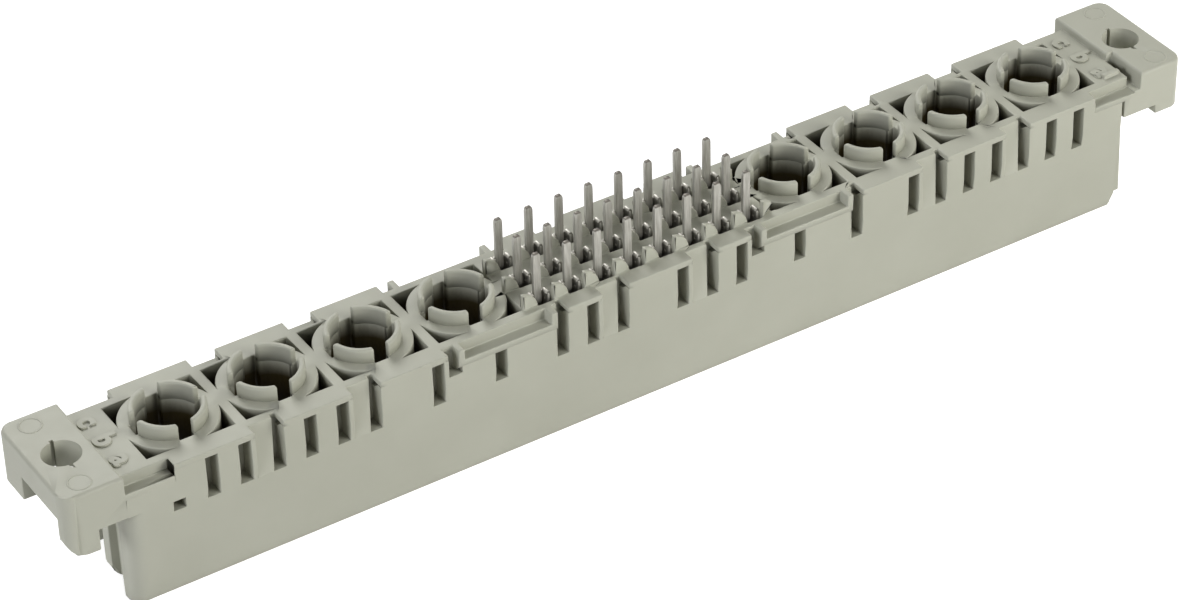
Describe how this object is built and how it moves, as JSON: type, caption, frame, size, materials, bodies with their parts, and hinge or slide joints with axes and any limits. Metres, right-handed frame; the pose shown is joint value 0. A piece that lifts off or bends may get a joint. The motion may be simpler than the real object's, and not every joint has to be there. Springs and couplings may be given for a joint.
{
  "type": "hybrid board connector strip",
  "caption": "Light grey moulded connector strip with castellated round cavities in square cells, a field of small solder tails in the middle and a screw flange at each end",
  "frame": {"origin": "under the middle of the strip, on the plane of the mating face", "axes": "+X along the strip to the end with the cross slot, +Y to the side of row c, +Z from the mating face to the board side"},
  "size_m": [0.0948, 0.0098, 0.0152],
  "materials": {
    "housing_plastic": "moulded pebble grey thermoplastic, dull",
    "contact_metal": "tin plated copper alloy, dull silver"
  },
  "bodies": {
    "root": {"housing": "housing_plastic", "contact_a13": "contact_metal", "contact_a14": "contact_metal", "contact_a15": "contact_metal", "contact_a16": "contact_metal", "contact_a17": "contact_metal", "contact_a18": "contact_metal", "contact_a19": "contact_metal", "contact_a20": "contact_metal", "contact_b13": "contact_metal", "contact_b14": "contact_metal", "contact_b15": "contact_metal", "contact_b16": "contact_metal", "contact_b17": "contact_metal", "contact_b18": "contact_metal", "contact_b19": "contact_metal", "contact_b20": "contact_metal", "contact_c13": "contact_metal", "contact_c14": "contact_metal", "contact_c15": "contact_metal", "contact_c16": "contact_metal", "contact_c17": "contact_metal", "contact_c18": "contact_metal", "contact_c19": "contact_metal", "contact_c20": "contact_metal"}
  },
  "joints": []
}
